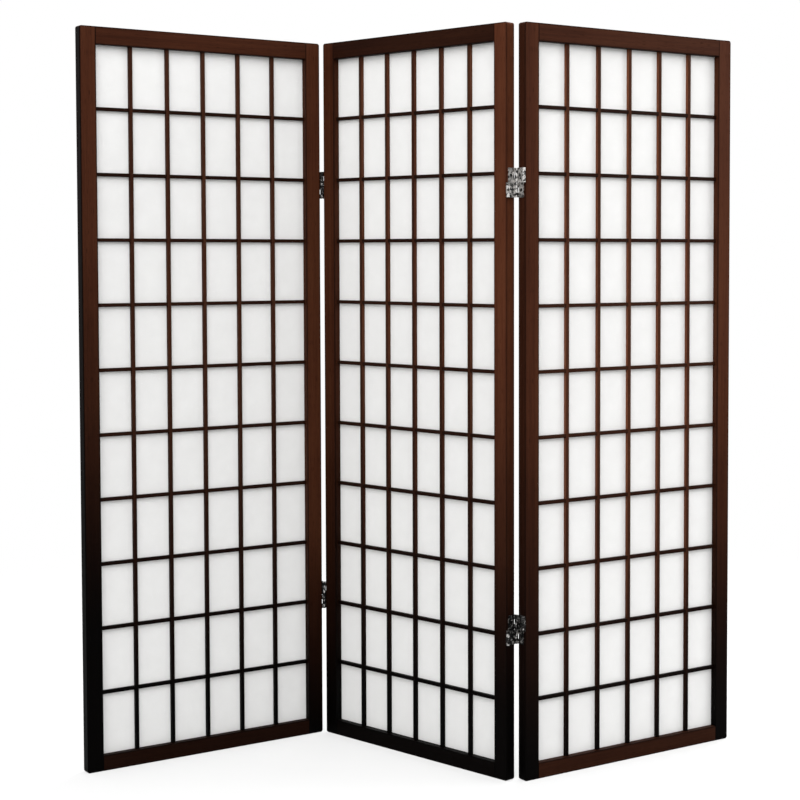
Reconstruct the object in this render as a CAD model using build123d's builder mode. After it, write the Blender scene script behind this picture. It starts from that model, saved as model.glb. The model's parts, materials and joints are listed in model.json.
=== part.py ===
from build123d import *
import os
from math import cos, radians, sin

# A folding screen of three framed paper panels, joined by double-action hinges.
# Origin: centre of the middle panel's foot, on the floor. +Z up, the front faces -Y,
# X runs along the zigzag. Millimetres.

# Panels
panel_width = 438.0
panel_height = 1219.0
panel_thickness = 19.0
stile_width = 27.5
top_rail_height = 28.8
bottom_rail_height = 25.8
panel_gap = 7.0                 # between neighbouring panels when they stand in line
fold_angle = 77.9               # how far each junction is folded from straight
edge_round = 1.6                # easing of the outer long edges
corner_round = 4.0              # outer corners of the stiles, seen from the front
inner_ease = 0.5                # easing of the arris next to the lattice
opening_width = panel_width - 2 * stile_width
opening_height = panel_height - top_rail_height - bottom_rail_height
opening_centre = bottom_rail_height + opening_height / 2

# Rebate behind the lattice, which takes the paper and its beads
rebate_width = 6.0
rebate_depth = 12.0             # from the front face to the shoulder
paper_thickness = 0.4
paper_margin = 0.3              # paper stops this far short of the rebate wall
bead_width = 5.8
bead_back = 18.4                # depth of the bead's back face
bead_round = 1.8

# Lattice: uprights lapped over slightly set-back crossbars, with clear cells all of one size
column_count = 6
row_count = 11
bar_width = 5.9
upright_front = 5.4             # depth of the upright's front face
crossbar_front = 6.2
lap_depth = 9.1                 # where the halves of each lap meet
lap_clearance = 0.05
tenon_length = 4.0
bar_ease = 0.4

# Dowels of the corner joints
dowel_diameter = 6.0
dowel_length = 30.0
dowel_hole_depth = 16.0
dowel_heights = (6.5, 15.5)     # from the rail's outer edge
dowel_depth = panel_thickness / 2
fit_clearance = 0.05

# Brads that hold the beads
brad_diameter = 1.2
brad_head_diameter = 2.2
brad_head_height = 0.6
brad_length = 13.0
side_brad_rows = (0, 2, 4, 6, 8, 10)    # rows of cells with a brad at each end
end_brad_columns = (0, 2, 3, 5)

# Double-action hinges
hinge_height = 47.0
hinge_centres = {"left_fold": {"lower": 246.0, "upper": 972.0},
                 "right_fold": {"lower": 246.0, "upper": 965.0}}
leaf_thickness = 1.2
leaf_margin = 3.2               # flat of the leaf and of the link starts this far in
barrel_radius = 2.9
pin_diameter = 2.4
pin_proud = 0.5                 # pin axes stand this far outside the panel faces
link_thickness = 1.6
half_gap = 0.3                  # between the upper and the lower half of a hinge
knuckle_gap = 0.2
plate_round = 1.0
link_hole_diameter = 6.4
screw_diameter = 3.0
screw_head_diameter = 5.4
screw_head_angle = 90.0
screw_length = 18.0
screw_tip_length = 4.0
recess_length = 3.0
recess_width = 0.8
recess_depth = 0.9
half_height = (hinge_height - half_gap) / 2
knuckle_height = (half_height - 2 * knuckle_gap) / 3
half_centre = (half_height + half_gap) / 2
axis_offset = panel_width / 2 + panel_gap / 2

os.makedirs("parts", exist_ok=True)


def save(builder, label):
    builder.part.label = label
    export_step(builder.part, f"parts/{label}.step")


class Panel:
    """Where one panel stands: u runs along its width, n from its front to its back."""

    def __init__(self, angle):
        self.u = Vector(cos(radians(angle)), sin(radians(angle)), 0)
        self.n = Vector(-sin(radians(angle)), cos(radians(angle)), 0)
        self.origin = Vector(0, 0, 0)

    def at(self, x, depth, z=0):
        return self.origin + self.u * x + self.n * depth + Vector(0, 0, z)

    def stand_on(self, axis_point, x, depth):
        self.origin = axis_point - self.u * x - self.n * depth

    def face(self, depth=0):
        """Sketch plane parallel to the front face: x along the width, y up, normal to the front."""
        return Plane(self.at(0, depth), x_dir=self.u, z_dir=self.n * -1)

    def edge(self, x):
        """Sketch plane across the width: x from front to back, y up, normal to the right."""
        return Plane(self.at(x, 0), x_dir=self.n, z_dir=self.u)

    def floor(self, x, depth, z):
        """Level sketch plane at a point of the panel: x along the width, y to the back."""
        return Plane(self.at(x, depth, z), x_dir=self.u, z_dir=(0, 0, 1))

    def screw_seat(self, side, z):
        """Plane on the outer face of a hinge leaf, centred on one of its screws."""
        seat = self.at(side * (panel_width / 2 + leaf_thickness), panel_thickness / 2, z)
        return Plane(seat, x_dir=self.n, z_dir=self.u * side)

    def across(self):
        return Axis(self.origin, self.u)

    def through(self):
        return Axis(self.origin, self.n)


# The middle panel turns one way, its neighbours the other
middle = Panel(-fold_angle / 2)
left = Panel(fold_angle / 2)
right = Panel(fold_angle / 2)
middle.origin = middle.n * (-panel_thickness / 2)
front_pin_depth = -pin_proud
back_pin_depth = panel_thickness + pin_proud
left_axis = middle.at(-axis_offset, front_pin_depth)
right_axis = middle.at(axis_offset, back_pin_depth)
left.stand_on(left_axis, axis_offset, front_pin_depth)
right.stand_on(right_axis, -axis_offset, back_pin_depth)
panels = {"left_panel": left, "middle_panel": middle, "right_panel": right}

column_pitch = (opening_width + bar_width) / column_count
row_pitch = (opening_height + bar_width) / row_count
upright_positions = [column_pitch * (k - column_count / 2) for k in range(1, column_count)]
crossbar_heights = [opening_centre + row_pitch * (k - row_count / 2) for k in range(1, row_count)]
lattice_crossings = [(x, z) for x in upright_positions for z in crossbar_heights]
rails = {"bottom_rail": (bottom_rail_height, bottom_rail_height / 2),
         "top_rail": (top_rail_height, panel_height - top_rail_height / 2)}

# Brads: on the centre line of each bead, halfway between lattice bars
side_brad_x = opening_width / 2 + rebate_width / 2
bottom_brad_z = bottom_rail_height - rebate_width / 2
top_brad_z = panel_height - top_rail_height + rebate_width / 2
side_brad_heights = [opening_centre + row_pitch * (k + 0.5 - row_count / 2) for k in side_brad_rows]
end_brad_positions = [column_pitch * (k + 0.5 - column_count / 2) for k in end_brad_columns]
side_brads = {side: [(side * side_brad_x, z) for z in side_brad_heights] for side in (-1, 1)}
end_brads = {"bottom_rail": [(x, bottom_brad_z) for x in end_brad_positions],
             "top_rail": [(x, top_brad_z) for x in end_brad_positions]}
all_brads = side_brads[-1] + side_brads[1] + end_brads["bottom_rail"] + end_brads["top_rail"]
dowel_levels = [z for h in dowel_heights for z in (h, panel_height - h)]
dowel_points = [(dowel_depth, z) for z in dowel_levels]

# Which junction each hinged edge belongs to, by panel and side
hinged_edges = {"left_panel": {1: "left_fold"},
                "middle_panel": {-1: "left_fold", 1: "right_fold"},
                "right_panel": {-1: "right_fold"}}


def screw_levels(fold):
    return [c + s * half_centre for c in hinge_centres[fold].values() for s in (-1, 1)]


def cut_brad_holes(panel, points):
    with BuildSketch(panel.face(rebate_depth)) as holes:
        with Locations(*points):
            Circle(brad_diameter / 2 + fit_clearance)
    extrude(holes.sketch, amount=brad_length - (bead_back - rebate_depth) + 2 * fit_clearance, mode=Mode.SUBTRACT)


def cut_screw_holes(panel, side, fold):
    with BuildSketch(panel.edge(side * panel_width / 2)) as holes:
        with Locations(*[(panel_thickness / 2, z) for z in screw_levels(fold)]):
            Circle(screw_diameter / 2 + fit_clearance)
    extrude(holes.sketch, amount=-side * (screw_length - leaf_thickness + 1), mode=Mode.SUBTRACT)


for name, panel in panels.items():
    # Stiles: full height, rebated behind, notched for the crossbars
    for side, stile_name in ((-1, "left_stile"), (1, "right_stile")):
        with BuildPart() as stile:
            with BuildSketch(panel.face()):
                with Locations((side * (panel_width - stile_width) / 2, panel_height / 2)):
                    Rectangle(stile_width, panel_height)
                fillet(vertices().group_by(Axis.X)[-1 if side > 0 else 0], radius=corner_round)
            extrude(amount=-panel_thickness)
            long_edges = edges().filter_by(Axis.Z).sort_by(panel.across(), reverse=side < 0)
            chamfer(long_edges[:2].sort_by(panel.through())[0], length=inner_ease)
            long_edges = edges().filter_by(Axis.Z).sort_by(panel.across(), reverse=side < 0)
            fillet(long_edges[-2:], radius=edge_round)
            with BuildSketch(panel.face(rebate_depth)):
                with Locations((side * side_brad_x, opening_centre)):
                    Rectangle(rebate_width, opening_height + 2 * rebate_width)
            extrude(amount=-(panel_thickness - rebate_depth), mode=Mode.SUBTRACT)
            with BuildSketch(panel.face(rebate_depth)):
                with Locations(*[(side * (opening_width + tenon_length) / 2, z) for z in crossbar_heights]):
                    Rectangle(tenon_length + 2 * lap_clearance, bar_width + 2 * lap_clearance)
            extrude(amount=rebate_depth - crossbar_front + lap_clearance, mode=Mode.SUBTRACT)
            with BuildSketch(panel.edge(side * opening_width / 2)):
                with Locations(*dowel_points):
                    Circle(dowel_diameter / 2 + fit_clearance)
            extrude(amount=side * dowel_hole_depth, mode=Mode.SUBTRACT)
            cut_brad_holes(panel, side_brads[side])
            if side in hinged_edges[name]:
                cut_screw_holes(panel, side, hinged_edges[name][side])
        save(stile, f"{name}_{stile_name}")

    # Rails: butted and dowelled between the stiles
    for rail_name, (rail_height, rail_centre) in rails.items():
        inward = 1 if rail_name == "bottom_rail" else -1
        inner_z = rail_centre + inward * rail_height / 2
        with BuildPart() as rail:
            with BuildSketch(panel.face()):
                with Locations((0, rail_centre)):
                    Rectangle(opening_width, rail_height)
            extrude(amount=-panel_thickness)
            outer_level, inner_level = (0, -1) if inward > 0 else (-1, 0)
            fillet(edges().filter_by(panel.across()).group_by(Axis.Z)[outer_level], radius=edge_round)
            inner_edges = edges().filter_by(panel.across()).group_by(Axis.Z)[inner_level]
            chamfer(inner_edges.sort_by(panel.through())[0], length=inner_ease)
            with BuildSketch(panel.face(rebate_depth)):
                with Locations((0, inner_z - inward * rebate_width / 2)):
                    Rectangle(opening_width, rebate_width)
            extrude(amount=-(panel_thickness - rebate_depth), mode=Mode.SUBTRACT)
            with BuildSketch(panel.face(rebate_depth)):
                with Locations(*[(x, inner_z - inward * tenon_length / 2) for x in upright_positions]):
                    Rectangle(bar_width + 2 * lap_clearance, tenon_length + 2 * lap_clearance)
            extrude(amount=rebate_depth - upright_front + lap_clearance, mode=Mode.SUBTRACT)
            for side in (-1, 1):
                with BuildSketch(panel.edge(side * opening_width / 2)):
                    with Locations(*[p for p in dowel_points if abs(p[1] - rail_centre) < rail_height / 2]):
                        Circle(dowel_diameter / 2 + fit_clearance)
                extrude(amount=-side * dowel_hole_depth, mode=Mode.SUBTRACT)
            cut_brad_holes(panel, end_brads[rail_name])
        save(rail, f"{name}_{rail_name}")

    # Dowels: two at each corner
    with BuildPart() as dowels:
        for side in (-1, 1):
            with BuildSketch(panel.edge(side * opening_width / 2 - dowel_length / 2)):
                with Locations(*dowel_points):
                    Circle(dowel_diameter / 2)
            extrude(amount=dowel_length)
    save(dowels, f"{name}_dowels")

    # Lattice uprights: notched behind for the crossbars
    with BuildPart() as uprights:
        with BuildSketch(panel.face(upright_front)):
            with Locations(*[(x, opening_centre) for x in upright_positions]):
                Rectangle(bar_width, opening_height + 2 * tenon_length)
        extrude(amount=-(rebate_depth - upright_front))
        front_edges = edges().filter_by(Axis.Z).group_by(panel.through())[0]
        chamfer(front_edges, length=bar_ease)
        with BuildSketch(panel.face(rebate_depth)):
            with Locations(*lattice_crossings):
                Rectangle(bar_width, bar_width + 2 * lap_clearance)
        extrude(amount=rebate_depth - lap_depth, mode=Mode.SUBTRACT)
    save(uprights, f"{name}_lattice_uprights")

    # Lattice crossbars: notched in front for the uprights
    with BuildPart() as crossbars:
        with BuildSketch(panel.face(crossbar_front)):
            with Locations(*[(0, z) for z in crossbar_heights]):
                Rectangle(opening_width + 2 * tenon_length, bar_width)
        extrude(amount=-(rebate_depth - crossbar_front))
        front_edges = edges().filter_by(panel.across()).group_by(panel.through())[0]
        chamfer(front_edges, length=bar_ease)
        with BuildSketch(panel.face(crossbar_front)):
            with Locations(*lattice_crossings):
                Rectangle(bar_width + 2 * lap_clearance, bar_width)
        extrude(amount=-(lap_depth - crossbar_front), mode=Mode.SUBTRACT)
    save(crossbars, f"{name}_lattice_crossbars")

    # Paper: lies on the shoulder of the rebate and on the back of the lattice
    with BuildPart() as paper:
        with BuildSketch(panel.face(rebate_depth)):
            with Locations((0, opening_centre)):
                Rectangle(opening_width + 2 * (rebate_width - paper_margin),
                          opening_height + 2 * (rebate_width - paper_margin))
            with Locations(*all_brads):
                Circle(brad_diameter / 2 + fit_clearance, mode=Mode.SUBTRACT)
        extrude(amount=-paper_thickness)
    save(paper, f"{name}_paper")

    # Beads: press the paper's margin against the shoulder
    bead_front = rebate_depth + paper_thickness
    bead_inset = rebate_width - bead_width / 2
    bead_x = opening_width / 2 + bead_inset
    bead_levels = (bottom_rail_height - bead_inset, panel_height - top_rail_height + bead_inset)
    with BuildPart() as side_beads:
        with BuildSketch(panel.face(bead_front)):
            with Locations((-bead_x, opening_centre), (bead_x, opening_centre)):
                Rectangle(bead_width, opening_height + 2 * (rebate_width - paper_margin))
        extrude(amount=-(bead_back - bead_front))
        back_edges = edges().filter_by(Axis.Z).group_by(panel.through())[-1].sort_by(panel.across())
        fillet(back_edges[1:3], radius=bead_round)
        with BuildSketch(panel.face(bead_back)):
            with Locations(*(side_brads[-1] + side_brads[1])):
                Circle(brad_diameter / 2 + fit_clearance)
        extrude(amount=bead_back - bead_front, mode=Mode.SUBTRACT)
        with BuildSketch(panel.face(bead_back)):
            with Locations(*(side_brads[-1] + side_brads[1])):
                Circle(brad_head_diameter / 2 + fit_clearance)
        extrude(amount=brad_head_height, mode=Mode.SUBTRACT)
    save(side_beads, f"{name}_side_beads")

    end_bead_length = 2 * (bead_x - bead_width / 2) - 2 * lap_clearance
    with BuildPart() as end_beads:
        with BuildSketch(panel.face(bead_front)):
            with Locations(*[(0, z) for z in bead_levels]):
                Rectangle(end_bead_length, bead_width)
        extrude(amount=-(bead_back - bead_front))
        back_edges = edges().filter_by(panel.across()).group_by(panel.through())[-1].sort_by(Axis.Z)
        fillet(back_edges[1:3], radius=bead_round)
        with BuildSketch(panel.face(bead_back)):
            with Locations(*(end_brads["bottom_rail"] + end_brads["top_rail"])):
                Circle(brad_diameter / 2 + fit_clearance)
        extrude(amount=bead_back - bead_front, mode=Mode.SUBTRACT)
        with BuildSketch(panel.face(bead_back)):
            with Locations(*(end_brads["bottom_rail"] + end_brads["top_rail"])):
                Circle(brad_head_diameter / 2 + fit_clearance)
        extrude(amount=brad_head_height, mode=Mode.SUBTRACT)
    save(end_beads, f"{name}_end_beads")

    # Brads: through bead and paper into the shoulder
    with BuildPart() as brads:
        with BuildSketch(panel.face(bead_back)):
            with Locations(*all_brads):
                Circle(brad_head_diameter / 2)
        extrude(amount=brad_head_height)
        with BuildSketch(panel.face(bead_back)):
            with Locations(*all_brads):
                Circle(brad_diameter / 2)
        extrude(amount=brad_length)
    save(brads, f"{name}_brads")


def knuckle_levels(centre, half, use_middle):
    """Heights of the knuckles that one plate has on one pin line, in one half of a hinge."""
    middle_z = centre + half * half_centre
    step = knuckle_height + knuckle_gap
    return [middle_z] if use_middle else [middle_z - step, middle_z + step]


def add_knuckles(panel, side, pin_depth, levels, plate_x, plate_width):
    """Barrels on one pin line, each with the finger that carries it from the plate."""
    inward = 1 if pin_depth < 0 else -1
    finger_end = leaf_margin if inward > 0 else panel_thickness - leaf_margin
    finger_end += inward * plate_round * 2
    barrel_x = side * axis_offset
    for z in levels:
        with BuildSketch(panel.floor(0, 0, z - knuckle_height / 2)) as profile:
            with Locations((barrel_x, pin_depth)):
                Circle(barrel_radius)
            with Locations((plate_x, (pin_depth + finger_end) / 2)):
                Rectangle(plate_width, abs(finger_end - pin_depth))
        extrude(profile.sketch, amount=knuckle_height)
        with BuildSketch(panel.floor(barrel_x, pin_depth, z - knuckle_height / 2)) as bore:
            Circle(pin_diameter / 2 + fit_clearance)
        extrude(bore.sketch, amount=knuckle_height, mode=Mode.SUBTRACT)


def make_leaf(panel, side, centre, name):
    """Leaf on a panel's edge. Its knuckles are on the back pin line in one half and on the
    front pin line in the other, the opposite way round on the two panels."""
    plate_x = side * (panel_width / 2 + leaf_thickness / 2)
    flat_width = panel_thickness - 2 * leaf_margin
    with BuildPart() as leaf:
        with BuildSketch(panel.edge(side * panel_width / 2)):
            with Locations((panel_thickness / 2, centre)):
                RectangleRounded(flat_width, hinge_height, plate_round)
        extrude(amount=side * leaf_thickness)
        for half in (-1, 1):
            pin_depth = back_pin_depth if half == side else front_pin_depth
            levels = knuckle_levels(centre, half, False)
            add_knuckles(panel, side, pin_depth, levels, plate_x, leaf_thickness)
        with Locations(*[panel.screw_seat(side, centre + s * half_centre) for s in (-1, 1)]):
            CounterSinkHole(radius=screw_diameter / 2 + fit_clearance,
                            counter_sink_radius=screw_head_diameter / 2 + fit_clearance,
                            depth=leaf_thickness, counter_sink_angle=screw_head_angle)
    save(leaf, name)


def make_link(panel, side, centre, half, name):
    """Plate that joins the front pin line to the back one, with a hole over the screw."""
    barrel_x = side * axis_offset
    with BuildPart() as link:
        with BuildSketch(panel.edge(barrel_x - link_thickness / 2)):
            with Locations((panel_thickness / 2, centre + half * half_centre)):
                RectangleRounded(panel_thickness - 2 * leaf_margin, half_height, plate_round)
        extrude(amount=link_thickness)
        for pin_depth in (front_pin_depth, back_pin_depth):
            levels = knuckle_levels(centre, half, True)
            add_knuckles(panel, side, pin_depth, levels, barrel_x, link_thickness)
        with BuildSketch(panel.edge(barrel_x - link_thickness / 2)):
            with Locations((panel_thickness / 2, centre + half * half_centre)):
                Circle(link_hole_diameter / 2)
        extrude(amount=link_thickness, mode=Mode.SUBTRACT)
    save(link, name)


# Hinges. The left junction folds on the front pins, the right one on the back pins, so the
# links that stay with the outer panel are the top ones on both sides.
junctions = {"left_fold": (left, middle), "right_fold": (middle, right)}
for fold_name, (left_hand, right_hand) in junctions.items():
    outer, outer_side = (left, 1) if fold_name == "left_fold" else (right, -1)
    inner_side = -outer_side
    for hinge_name, centre in hinge_centres[fold_name].items():
        prefix = f"{fold_name}_{hinge_name}_hinge"
        make_leaf(left_hand, 1, centre, f"{prefix}_left_leaf")
        make_leaf(right_hand, -1, centre, f"{prefix}_right_leaf")
        make_link(outer, outer_side, centre, 1, f"{prefix}_top_link")
        make_link(middle, inner_side, centre, -1, f"{prefix}_bottom_link")

# Hinge pins: pressed into the links, so each one stays with its link's panel
link_sides = {"left_panel": [(1, 1)], "middle_panel": [(-1, -1), (1, -1)], "right_panel": [(-1, 1)]}
for name, panel in panels.items():
    with BuildPart() as pins:
        for side, half in link_sides[name]:
            for centre in hinge_centres[hinged_edges[name][side]].values():
                pin_bottom = centre + half * half_centre - half_height / 2
                for pin_depth in (front_pin_depth, back_pin_depth):
                    with BuildSketch(panel.floor(side * axis_offset, pin_depth, pin_bottom)):
                        Circle(pin_diameter / 2)
                    extrude(amount=half_height)
    save(pins, f"{name}_hinge_pins")

# Hinge screws: countersunk, with a cross recess
for name, panel in panels.items():
    with BuildPart() as screws:
        for side, fold in hinged_edges[name].items():
            for z in screw_levels(fold):
                screw_plane = panel.screw_seat(side, z)
                with BuildSketch(screw_plane.offset(-leaf_thickness)):
                    Circle(screw_diameter / 2)
                with BuildSketch(screw_plane):
                    Circle(screw_head_diameter / 2)
                loft()
                with BuildSketch(screw_plane.offset(-leaf_thickness)):
                    Circle(screw_diameter / 2)
                extrude(amount=-(screw_length - leaf_thickness - screw_tip_length))
                with BuildSketch(screw_plane.offset(-(screw_length - screw_tip_length))):
                    Circle(screw_diameter / 2)
                with BuildSketch(screw_plane.offset(-screw_length)):
                    Circle(screw_diameter / 12)
                loft()
                with BuildSketch(screw_plane):
                    Rectangle(recess_length, recess_width)
                    Rectangle(recess_width, recess_length)
                extrude(amount=-recess_depth, mode=Mode.SUBTRACT)
    save(screws, f"{name}_hinge_screws")

print("left axis", left_axis, "right axis", right_axis)
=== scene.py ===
import bpy
import bmesh
import json
from math import cos, radians, sin
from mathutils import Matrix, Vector

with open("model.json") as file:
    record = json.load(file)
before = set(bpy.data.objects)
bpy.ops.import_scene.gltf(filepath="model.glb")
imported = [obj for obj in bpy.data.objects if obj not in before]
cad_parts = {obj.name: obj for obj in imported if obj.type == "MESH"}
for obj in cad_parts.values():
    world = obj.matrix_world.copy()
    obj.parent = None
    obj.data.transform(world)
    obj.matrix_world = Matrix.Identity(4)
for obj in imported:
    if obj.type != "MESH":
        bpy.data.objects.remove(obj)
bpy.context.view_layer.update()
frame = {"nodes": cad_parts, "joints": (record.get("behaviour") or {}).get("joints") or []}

nodes = frame["nodes"]
print("frame loaded:", len(nodes), "pieces")


class Wire:
    # one output socket, so that sums on shader values read as sums
    def __init__(self, board, socket):
        self.board = board
        self.socket = socket

    def __add__(self, other):
        return self.board.maths("ADD", self, other)

    def __sub__(self, other):
        return self.board.maths("SUBTRACT", self, other)

    def __mul__(self, other):
        return self.board.maths("MULTIPLY", self, other)

    def __truediv__(self, other):
        return self.board.maths("DIVIDE", self, other)

    def __rsub__(self, other):
        return self.board.maths("SUBTRACT", other, self)

    __radd__ = __add__
    __rmul__ = __mul__

    def out(self, name):    # another output of the same node
        return Wire(self.board, self.socket.node.outputs[name])


class Board:
    # the node board of one material, or of the world
    def __init__(self, owner):
        self.owner = owner
        owner.use_nodes = True
        self.tree = owner.node_tree
        self.tree.nodes.clear()
        self.column = 0

    def node(self, kind, settings=None, sockets=None):
        made = self.tree.nodes.new(kind)
        made.location = (self.column * 40, -(self.column % 7) * 160)
        self.column += 1
        for key, value in (settings or {}).items():
            if key == "stops":
                self.setStops(made.color_ramp, value)
            else:
                setattr(made, key, value)
        for key, value in (sockets or {}).items():
            socket = made.inputs[key]
            if isinstance(value, Wire):
                self.tree.links.new(value.socket, socket)
            elif socket.type == "RGBA":
                socket.default_value = (*value, 1.0)
            else:
                socket.default_value = value
        shown = [s for s in made.outputs if s.enabled]
        return Wire(self, shown[0]) if shown else None

    def setStops(self, ramp, stops):
        while len(ramp.elements) < len(stops):
            ramp.elements.new(1.0)
        for element, (position, shade) in zip(ramp.elements, stops):
            element.position = position
            element.color = (*shade, 1.0)

    def maths(self, operation, *values):
        return self.node("ShaderNodeMath", {"operation": operation}, dict(enumerate(values)))

    def least(self, a, b):
        return self.maths("MINIMUM", a, b)

    def most(self, a, b):
        return self.maths("MAXIMUM", a, b)

    def ease(self, value, low, high, start=0.0, end=1.0):
        return self.node("ShaderNodeMapRange", {"interpolation_type": "SMOOTHSTEP"},
                         {"Value": value, "From Min": low, "From Max": high, "To Min": start, "To Max": end})

    def blend(self, amount, a, b, kind="MIX"):
        settings = {"data_type": "RGBA", "blend_type": kind, "clamp_factor": True}
        made = self.node("ShaderNodeMix", settings, {0: amount, 6: a, 7: b})
        return Wire(self, made.socket.node.outputs[2])

    def vector(self, x, y, z):
        return self.node("ShaderNodeCombineXYZ", None, {0: x, 1: y, 2: z})

    def noise(self, place, scale, detail=2.0, roughness=0.5):
        return self.node("ShaderNodeTexNoise", None,
                         {"Vector": place, "Scale": scale, "Detail": detail, "Roughness": roughness})

    def bump(self, height, strength, distance):
        return self.node("ShaderNodeBump", None,
                         {"Height": height, "Strength": strength, "Distance": distance})

    def normalUp(self):    # 1 on a face that looks up, -1 on one that looks down
        facing = self.node("ShaderNodeTexCoord").out("Normal")
        return self.node("ShaderNodeSeparateXYZ", None, {0: facing}).out("Z")

    def show(self, surface):
        self.node("ShaderNodeOutputMaterial", None, {"Surface": surface})
        return self.owner

    def finish(self, sockets):
        return self.show(self.node("ShaderNodeBsdfPrincipled", None, sockets))


def materialBoard(name):
    return Board(bpy.data.materials.new(name))


# the measures of one panel and of the way the three stand, in metres
panelSize = {
    "width": 0.438, "height": 1.219, "thickness": 0.019, "gap": 0.007,
    "stile": 0.0275, "topRail": 0.0288, "bottomRail": 0.0258,
    "bar": 0.0059, "uprightFront": 0.0054,
    "columns": 6, "rows": 11,
    "rest": 77.9,               # degrees between neighbours as the screen stands
    "pinProud": 0.0005,         # how far a hinge pin's axis stands off the panel's face
}
joints = {j["name"]: Vector(j["pos_m"]) for j in frame["joints"]}


def panelPlaces():
    # for each panel its turn about Z, its front face's middle at the floor, and its two level directions
    half = panelSize["rest"] / 2
    reach = (panelSize["width"] + panelSize["gap"]) / 2
    proud = panelSize["pinProud"]
    places = {}
    for name, turn in (("left_panel", half), ("middle_panel", -half), ("right_panel", half)):
        along = Vector((cos(radians(turn)), sin(radians(turn)), 0))
        back = Vector((-sin(radians(turn)), cos(radians(turn)), 0))
        if name == "left_panel":
            origin = joints["left_fold"] - along * reach + back * proud
        elif name == "right_panel":
            origin = joints["right_fold"] + along * reach - back * (panelSize["thickness"] + proud)
        else:
            origin = back * (-panelSize["thickness"] / 2)
        places[name] = (radians(turn), origin, along, back)
    return places


places = panelPlaces()


def panelCoordinates(board, panel):
    # x along the width from the middle, y from the front face to the back, z up, in metres
    turn, origin, along, back = places[panel]
    shift = (-origin.dot(along), -origin.dot(back), 0)
    raw = board.node("ShaderNodeTexCoord").out("Object")
    turned = board.node("ShaderNodeMapping", {"vector_type": "POINT"},
                        {"Vector": raw, "Location": shift, "Rotation": (0, 0, -turn)})
    split = board.node("ShaderNodeSeparateXYZ", None, {0: turned})
    return split, split.out("Y"), split.out("Z")


stain = {
    "dark": (0.0225, 0.0061, 0.0027),
    "mid": (0.0540, 0.0157, 0.0070),
    "light": (0.0810, 0.0266, 0.0115),
    "latticeTint": (1.0, 1.12, 1.25),   # the thin bars are a little less red than the frame
    "foot": 0.008,              # painted shade: how much of the tone is left at the bottom, where the painted shade is darkest
    "arris": 0.45,              # painted shade: tone along the rounded corners
    "arrisWidth": (0.0006, 0.0030),     # full this near the corner, gone that far from it
    "paintedUndersideShade": 0.30,          # painted shade: tone of the faces that look down
    "paintedShadeUpperRows": (0.70, 1.00, 1.0, 0.50),   # painted shade: the crossbars darken again between these heights
    "jointLine": 0.0008,        # width of the dark line where a rail meets a stile
    "jointTone": 0.35,
    "roughness": 0.50,
    "gloss": 0.03,
    "figure": 1.15,             # contrast of the grain
    "boardToBoard": 0.22,       # contrast between one bar and the next
    "cloud": 0.35,              # contrast of the slow drift over a whole panel
    "cloudScale": 7.0,
    "middle": 0.56,             # where on the dark to light scale the average falls
    "poreCut": (0.64, 0.72),    # only the peaks of the pore field are pores
    "poreCover": 0.55,
    "poreDepth": 0.00006,
    "flankDepth": (0.0004, 0.0014),     # a side face is told from the front over this distance
    "barFlankDepth": (0.0003, 0.0013),  # the same on the thin bars
}

# for each stick: its tone, partly its own and partly painted light and shade that differ from panel to panel;
# the heights between which painted shade lifts that tone from near black; and the tone of its side faces,
# painted light or shade
sticks = {
    "left_panel_left_stile": (0.88, 0.22, 1.02, 0.08),
    "left_panel_right_stile": (0.90, 0.00, 0.55, 0.80),
    "left_panel_top_rail": (0.76, 0.00, 0.80, 0.80),
    "left_panel_bottom_rail": (0.16, -0.20, 0.00, 0.80),
    "left_panel_lattice_uprights": (0.72, 0.05, 0.85, 1.05),
    "left_panel_lattice_crossbars": (0.40, 0.05, 0.85, 1.00),
    "middle_panel_left_stile": (0.86, 0.02, 0.85, 0.80),
    "middle_panel_right_stile": (1.38, 0.08, 0.85, 0.95),
    "middle_panel_top_rail": (0.38, 0.00, 0.80, 0.80),
    "middle_panel_bottom_rail": (0.02, -0.20, 0.00, 0.80),
    "middle_panel_lattice_uprights": (0.66, 0.05, 0.90, 2.10),
    "middle_panel_lattice_crossbars": (0.40, 0.05, 0.85, 1.00),
    "right_panel_left_stile": (0.95, 0.00, 0.80, 0.70),
    "right_panel_right_stile": (1.08, 0.02, 0.80, 0.80),
    "right_panel_top_rail": (0.76, 0.00, 0.80, 0.80),
    "right_panel_bottom_rail": (0.40, -0.20, 0.00, 0.80),
    "right_panel_lattice_uprights": (0.94, -0.02, 0.62, 2.50),
    "right_panel_lattice_crossbars": (0.50, 0.00, 0.70, 1.00),
}
# the beads' tone, painted shade heights and painted side tone, as in the table above
beadStick = (0.80, 0.04, 0.85, 0.90)


def barCount(board, part, x, z):
    # which bar of the lattice a point is on
    clearWidth = panelSize["width"] - 2 * panelSize["stile"]
    clearHeight = panelSize["height"] - panelSize["topRail"] - panelSize["bottomRail"]
    if part == "uprights":
        return board.maths("ROUND", x / ((clearWidth + panelSize["bar"]) / panelSize["columns"]))
    firstGap = panelSize["bottomRail"] - panelSize["bar"] / 2
    return board.maths("ROUND", (z - firstGap) / ((clearHeight + panelSize["bar"]) / panelSize["rows"]))


# each layer of the grain: how fine it is across the stick, how drawn out along it, detail, roughness
grain = {
    "wave": (26.0, 0.045, 2.0, 0.5),
    "rings": (190.0, 0.02, 3.0, 0.55),
    "streaks": (620.0, 0.012, 2.0, 0.6),
    "fibre": (2600.0, 0.022, 1.0, 0.5),
    "pores": (1250.0, 0.05, 0.0, 0.5),
}
plankSeed = {"left_panel": 1.7, "middle_panel": 5.3, "right_panel": 9.1}


def grainLayer(board, layer, across, depth, along):
    scale, drawn, detail, roughness = grain[layer]
    return board.noise(board.vector(across, depth, along * drawn), scale, detail, roughness)


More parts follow.
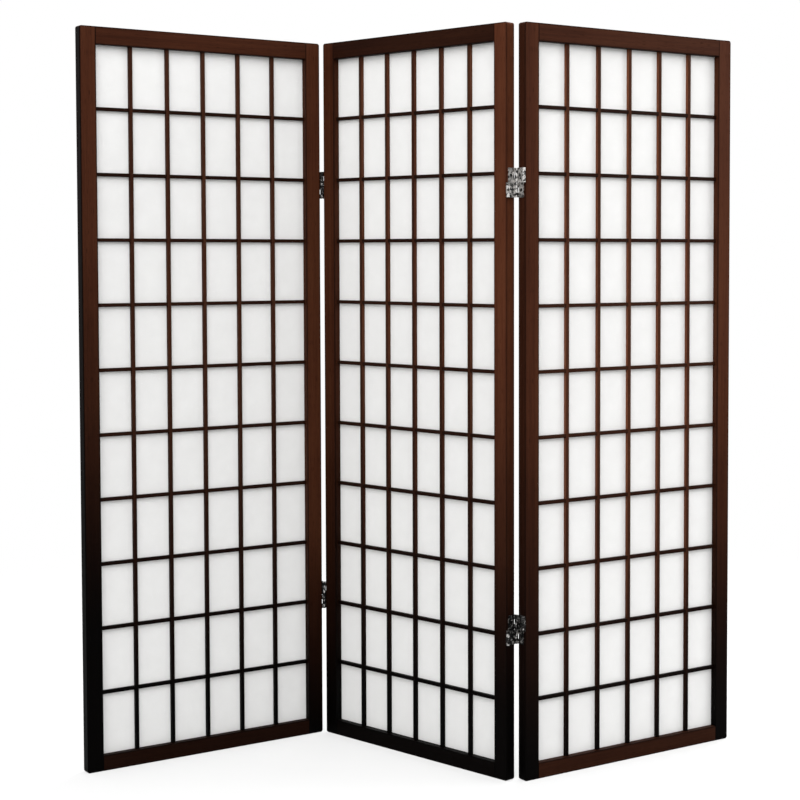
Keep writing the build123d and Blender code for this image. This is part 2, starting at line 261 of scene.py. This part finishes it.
def stainedWoodWithPaintedShade(node, panel, part, lengthwise):
    # lengthwise: "z" for uprights, "x" for level members
    board = materialBoard(f"stainAndShade_{node}")
    x, y, z = panelCoordinates(board, panel)
    along, across = (z, x) if lengthwise == "z" else (x, z)
    seed = plankSeed[panel]
    tone, paintedShadeBelow, paintedShadeGoneAbove, paintedSideLightShade = sticks.get(node, beadStick)

    # each bar is cut from another board, so its figure and tone are its own
    lattice = part in ("uprights", "crossbars")
    if lattice:
        count = barCount(board, part, x, z)
    else:
        count = board.maths("ROUND", across / 0.4)
    boardTone = board.node("ShaderNodeTexWhiteNoise", {"noise_dimensions": "1D"}, {"W": count + seed})

    wavy = grainLayer(board, "wave", across, y, along)
    rings = grainLayer(board, "rings", across + (wavy - 0.5) * 0.010 + count * 0.37, y * 0.8 + seed, along)
    streaks = grainLayer(board, "streaks", across + seed, y, along)
    fibre = grainLayer(board, "fibre", across, y, along)
    pores = board.ease(grainLayer(board, "pores", across, y, along), *stain["poreCut"])
    cloud = board.noise(board.vector(x, y, z), stain["cloudScale"])

    figure = rings * 0.55 + streaks * 0.45
    level = (figure - 0.5) * stain["figure"] + (boardTone - 0.5) * stain["boardToBoard"]
    level = level + (cloud - 0.5) * stain["cloud"] + stain["middle"]
    base = board.node("ShaderNodeValToRGB", {"stops": [
        (0.12, stain["dark"]), (0.55, stain["mid"]), (0.95, stain["light"])]}, {"Fac": level})
    base = board.blend(pores * stain["poreCover"], base, stain["dark"])

    # painted shade: darker towards the bottom, along the arrises and on the faces that look down
    shade = board.ease(z + (cloud - 0.5) * 0.06, paintedShadeBelow, paintedShadeGoneAbove, stain["foot"], 1.0) * tone
    # painted shade on the upper crossbars
    if part == "crossbars":
        shade = shade * board.ease(z, *stain["paintedShadeUpperRows"])
    # painted shade on the faces that look down
    down = board.ease(board.normalUp(), -0.9, -0.3, 1.0, 0.0)
    shade = shade * (1 - down * (1 - stain["paintedUndersideShade"]))
    depth = board.least(y, panelSize["thickness"] - y)
    if part == "stile":
        outer = panelSize["width"] / 2 - board.maths("ABSOLUTE", x)
        side = board.least(outer, panelSize["stile"] - outer)
        ends = board.least(z, panelSize["height"] - z)
        arris = board.most(board.least(side, ends), depth)
        flank = board.ease(side, *stain["flankDepth"], 1.0, 0.0)
    elif part == "rail":
        ends = board.least(z, panelSize["height"] - z)
        height = panelSize["topRail"] if "top" in node else panelSize["bottomRail"]
        arris = board.most(board.least(ends, height - ends), depth)
        reach = panelSize["width"] / 2 - panelSize["stile"] - board.maths("ABSOLUTE", x)
        shade = shade * board.ease(reach, 0.0, stain["jointLine"], stain["jointTone"], 1.0)
        flank = board.ease(ends, *stain["flankDepth"], 1.0, 0.0)
    else:
        arris = 1.0    # the thin bars and beads have no rounded arrises
        flank = board.ease(y - panelSize["uprightFront"], *stain["barFlankDepth"])
    # painted shade along the rounded arrises
    edge = board.ease(arris, *stain["arrisWidth"], 1.0, 0.0)
    # painted light or shade on the side faces
    shade = shade * (1 - edge * (1 - stain["arris"])) * (1 + flank * (paintedSideLightShade - 1))
    tint = stain["latticeTint"] if lattice else (1.0, 1.0, 1.0)
    shadeColour = board.node("ShaderNodeCombineColor", None, {i: shade * tint[i] for i in range(3)})
    base = board.blend(1.0, base, shadeColour, "MULTIPLY")

    rough = stain["roughness"] + (streaks - 0.5) * 0.16 + pores * 0.18 + edge * 0.08
    normal = board.bump(fibre * 0.35 + streaks * 0.4 - pores * 0.9, 0.55, stain["poreDepth"])
    return board.finish({"Base Color": base, "Roughness": rough, "Normal": normal,
                         "Specular IOR Level": stain["gloss"]})


paperLook = {
    "light": (0.900, 0.899, 0.896),
    "shade": (0.850, 0.849, 0.845),
    "fibre": (0.940, 0.938, 0.934),
    "letThrough": 0.30,         # share of the light that comes through from behind
    "glow": (0.93, 0.925, 0.91),
    "cloudScale": 34.0,
    "bendScale": 60.0,
    "bend": 0.016,              # how far the long fibres wander, in metres
    "upright": (560.0, 0.16),   # the two layers of long fibres: how fine, how drawn out
    "level": (520.0, 0.17),
    "toothScale": 1900.0,
    "toothDepth": 0.00008,
}


def ricePaper(name, panel):
    board = materialBoard(name)
    x, _, z = panelCoordinates(board, panel)
    flat = board.vector(x, z, 0.0)
    cloud = board.noise(flat, paperLook["cloudScale"], 4.0, 0.62)
    bend = (board.noise(flat, paperLook["bendScale"]) - 0.5) * paperLook["bend"]
    # two layers of long fibres that cross, each bent by the same slow drift
    scale, drawn = paperLook["upright"]
    upright = board.noise(board.vector(x + bend, z * drawn - bend * 0.3, 0.0), scale, 1.0)
    scale, drawn = paperLook["level"]
    level = board.noise(board.vector(x * drawn + bend * 0.4, z + bend, 3.0), scale, 1.0)
    strands = board.most(board.ease(upright, 0.66, 0.74), board.ease(level, 0.67, 0.75))
    tooth = board.noise(flat, paperLook["toothScale"], 2.0, 0.6)
    base = board.node("ShaderNodeValToRGB", {"stops": [(0.3, paperLook["shade"]), (0.7, paperLook["light"])]},
                      {"Fac": cloud * 0.8 + tooth * 0.2})
    base = board.blend(strands * 0.55, base, paperLook["fibre"])
    normal = board.bump(tooth * 0.4 + strands * 0.6 + cloud * 0.5, 0.35, paperLook["toothDepth"])
    rough = 0.82 + (tooth - 0.5) * 0.1 - strands * 0.08
    front = board.node("ShaderNodeBsdfPrincipled", None, {
        "Base Color": base, "Roughness": rough, "Normal": normal, "Specular IOR Level": 0.15})
    behind = board.node("ShaderNodeBsdfTranslucent", None, {"Color": paperLook["glow"]})
    share = paperLook["letThrough"] - strands * 0.08 - (cloud - 0.5) * 0.10
    return board.show(board.node("ShaderNodeMixShader", None, {0: share, 1: front, 2: behind}))


hingeLook = {
    "dark": (0.010, 0.0095, 0.0095),
    "worn": (0.74, 0.72, 0.70),
    "roughness": 0.34,
    "mottle": 250.0,            # scale of the rubbed patches
    "pits": 1900.0,             # scale of the fine pits, then of the scratches
    "scratches": 1500.0,
    "pitDepth": 0.00003,
    "wear": {                   # 0 as blackened, 1 rubbed bright all over
        "left_fold_upper": 0.34, "left_fold_lower": 0.26,
        "right_fold_upper": 0.64, "right_fold_lower": 0.32,
    },
    "pinWear": 0.70,
    "screwWear": -0.60,         # below 0 nothing is rubbed
}


def blackenedSteel(name, wear):
    board = materialBoard(name)
    place = board.node("ShaderNodeTexCoord").out("Object")
    mottle = board.noise(place, hingeLook["mottle"], 3.0, 0.55)
    fine = board.noise(place, hingeLook["pits"], 2.0, 0.6)
    split = board.node("ShaderNodeSeparateXYZ", None, {0: place})
    drawn = board.vector(split, split.out("Y"), split.out("Z") * 0.08)
    brushed = board.noise(drawn, hingeLook["scratches"])
    rubbed = board.ease(mottle * 0.75 + brushed * 0.25, 0.62 - wear * 0.3, 0.72 - wear * 0.3)
    base = board.blend(rubbed, hingeLook["dark"], hingeLook["worn"])
    base = board.blend(board.ease(fine, 0.50, 0.75) * 0.35, base, hingeLook["dark"])
    rough = hingeLook["roughness"] + (fine - 0.5) * 0.2 + (1 - rubbed) * 0.10
    normal = board.bump(fine * 0.5 + brushed * 0.5, 0.3, hingeLook["pitDepth"])
    return board.finish({"Base Color": base, "Metallic": 0.80 + rubbed * 0.15, "Roughness": rough,
                         "Normal": normal})


beechLook = {
    "dark": (0.40, 0.24, 0.12),
    "light": (0.58, 0.39, 0.22),
    "fleckScale": 1400.0,
    "fleckDepth": 0.00005,
}


def beech(name):
    board = materialBoard(name)
    x, y, z = panelCoordinates(board, "middle_panel")
    flecks = board.noise(board.vector(x * 0.1, y, z), beechLook["fleckScale"])
    base = board.node("ShaderNodeValToRGB", {"stops": [(0.3, beechLook["dark"]), (0.7, beechLook["light"])]},
                      {"Fac": flecks})
    return board.finish({"Base Color": base, "Roughness": 0.6 + (flecks - 0.5) * 0.2,
                         "Normal": board.bump(flecks, 0.3, beechLook["fleckDepth"])})


def dressFrame():
    wear = hingeLook["wear"]
    steels = {hinge: blackenedSteel(f"hingeSteel_{hinge}", wear[hinge]) for hinge in wear}
    pinSteel = blackenedSteel("rubbedPinSteel", hingeLook["pinWear"])
    screwSteel = blackenedSteel("screwSteel", hingeLook["screwWear"])
    dowelWood = beech("dowelBeech")
    woodParts = {"_stile": ("stile", "z"), "_rail": ("rail", "x"), "_uprights": ("uprights", "z"),
                 "_crossbars": ("crossbars", "x"), "_side_beads": ("bead", "z"), "_end_beads": ("bead", "x")}
    for name, piece in nodes.items():
        panel = "_".join(name.split("_")[:2])
        if name.endswith(("_leaf", "_link")):
            material = next(steels[hinge] for hinge in steels if name.startswith(hinge))
        elif name.endswith("_pins"):
            material = pinSteel
        elif name.endswith(("_screws", "_brads")):
            material = screwSteel
        elif name.endswith("_dowels"):
            material = dowelWood
        elif name.endswith("_paper"):
            material = ricePaper(f"ricePaper_{panel}", panel)
        else:
            part, lengthwise = next(woodParts[e] for e in woodParts if name.endswith(e))
            material = stainedWoodWithPaintedShade(name, panel, part, lengthwise)
        for holder in piece.material_slots:
            holder.material = material


dressFrame()
print("materials on")


studio = {
    "floorRadius": 6.0,
    "floorFade": (0.8, 2.2),    # from here to there the floor pales into the backdrop
    "floorShow": 0.5,           # how strongly the floor shows even in the middle
    "floorShades": ((0.80, 0.80, 0.80), (0.84, 0.84, 0.84)),
    "floorScale": 3.0,
    "backdrop": 1.0,            # the white behind, as the eye sees it
    "worldLight": (0.12, 0.70, 0.90),   # the same white as a light, from below, level and above
    "key": {"power": 85.0, "place": (0.00, -2.30, 2.80), "size": 3.0},
    "side": {"power": 22.0, "place": (2.60, 0.20, 1.60), "size": 1.2},
    "back": {"power": 92.0, "place": (1.30, 2.80, 2.50), "size": 2.0},
    "aim": (0, 0, 0.65),
}


def layFloor():
    disc = bmesh.new()
    bmesh.ops.create_circle(disc, cap_ends=True, segments=96, radius=studio["floorRadius"])
    mesh = bpy.data.meshes.new("studioFloor")
    disc.to_mesh(mesh)
    disc.free()
    floor = bpy.data.objects.new("studioFloor", mesh)
    bpy.context.scene.collection.objects.link(floor)
    board = materialBoard("paleFloor")
    place = board.node("ShaderNodeTexCoord").out("Object")
    tint = board.blend(board.noise(place, studio["floorScale"]), *studio["floorShades"])
    reach = board.node("ShaderNodeVectorMath", {"operation": "LENGTH"}, {0: place}).out("Value")
    paling = board.ease(reach, *studio["floorFade"], studio["floorShow"], 0.0)
    mesh.materials.append(board.finish({"Base Color": tint, "Roughness": 0.9, "Specular IOR Level": 0.1,
                                        "Alpha": paling}))


def hangLight(name):
    settings = studio[name]
    lamp = bpy.data.lights.new(f"{name}Light", "AREA")
    lamp.shape = "DISK"
    lamp.size = settings["size"]
    lamp.energy = settings["power"]
    holder = bpy.data.objects.new(f"{name}Light", lamp)
    bpy.context.scene.collection.objects.link(holder)
    holder.location = settings["place"]
    toAim = Vector(studio["aim"]) - Vector(settings["place"])
    holder.rotation_euler = toAim.to_track_quat("-Z", "Y").to_euler()


def lightStudio():
    # a white room: even white to the eye, and a light that is stronger from above than from below
    world = bpy.data.worlds.new("studioWorld")
    bpy.context.scene.world = world
    air = Board(world)
    direction = air.node("ShaderNodeTexCoord").out("Generated")
    up = air.node("ShaderNodeSeparateXYZ", None, {0: direction}).out("Z")
    below, level, above = studio["worldLight"]
    asLight = air.ease(up, -0.6, 0.1, below, level) + air.ease(up, 0.0, 0.9, 0.0, above - level)
    seen = air.node("ShaderNodeLightPath").out("Is Camera Ray")
    strength = asLight + seen * (studio["backdrop"] - asLight)
    glow = air.node("ShaderNodeBackground", None, {"Color": (1, 1, 1), "Strength": strength})
    air.node("ShaderNodeOutputWorld", None, {"Surface": glow})
    for name in ("key", "side", "back"):
        hangLight(name)


view = {
    "lens": 78.6,               # on a sensor 36 mm wide
    "sensor": 36.0,
    "shift": (-0.15, -0.0781),
    "place": (0.3493, -2.9237, 0.8509),
    "down": 2.73,               # degrees below level
    "left": 3.365,              # degrees turned to the left of +Y
}


def setCamera():
    lens = bpy.data.cameras.new("viewCamera")
    lens.lens = view["lens"]
    lens.sensor_width = view["sensor"]
    lens.shift_x, lens.shift_y = view["shift"]
    holder = bpy.data.objects.new("viewCamera", lens)
    bpy.context.scene.collection.objects.link(holder)
    holder.location = view["place"]
    holder.rotation_euler = (radians(90 - view["down"]), 0, radians(view["left"]))
    bpy.context.scene.camera = holder


layFloor()
lightStudio()
setCamera()
bpy.context.scene.view_settings.view_transform = "Standard"
print("studio ready")
